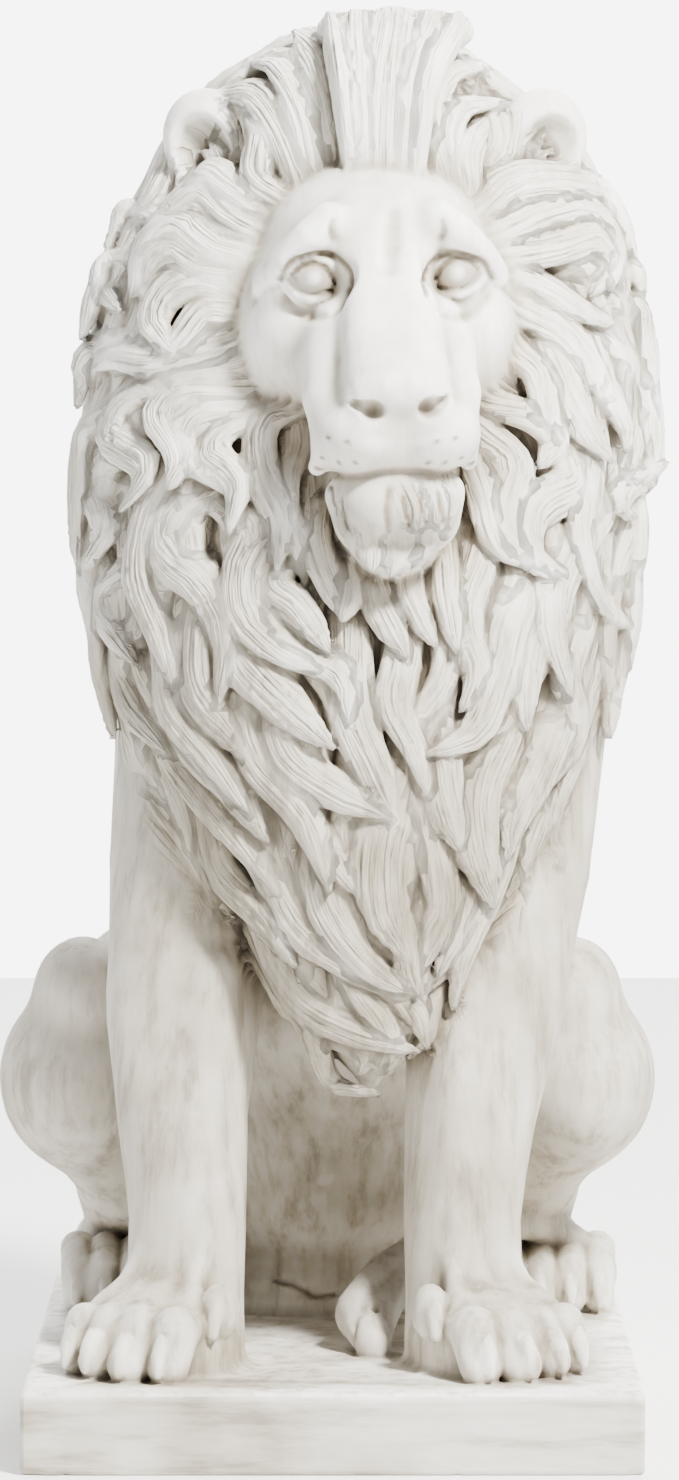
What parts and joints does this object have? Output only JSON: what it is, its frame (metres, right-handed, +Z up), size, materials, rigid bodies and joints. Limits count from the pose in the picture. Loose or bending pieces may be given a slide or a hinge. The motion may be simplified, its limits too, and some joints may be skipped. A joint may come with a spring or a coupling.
{
  "type": "lion statue",
  "caption": "Seated male lion with a full carved mane, cast in one piece with its rectangular slab; stands on a pier, plinth or step.",
  "frame": {"origin": "middle of the slab's underside", "axes": "+Z up, the lion faces -Y, +X towards the lion's left side (the viewer's right)"},
  "size_m": [0.339, 0.4, 0.7114],
  "materials": {
    "cast_stone": "resin-bonded stone, matt off-white with a warm grey wash in the hollows"
  },
  "bodies": {
    "root": {"lion_statue": "cast_stone"}
  },
  "joints": []
}
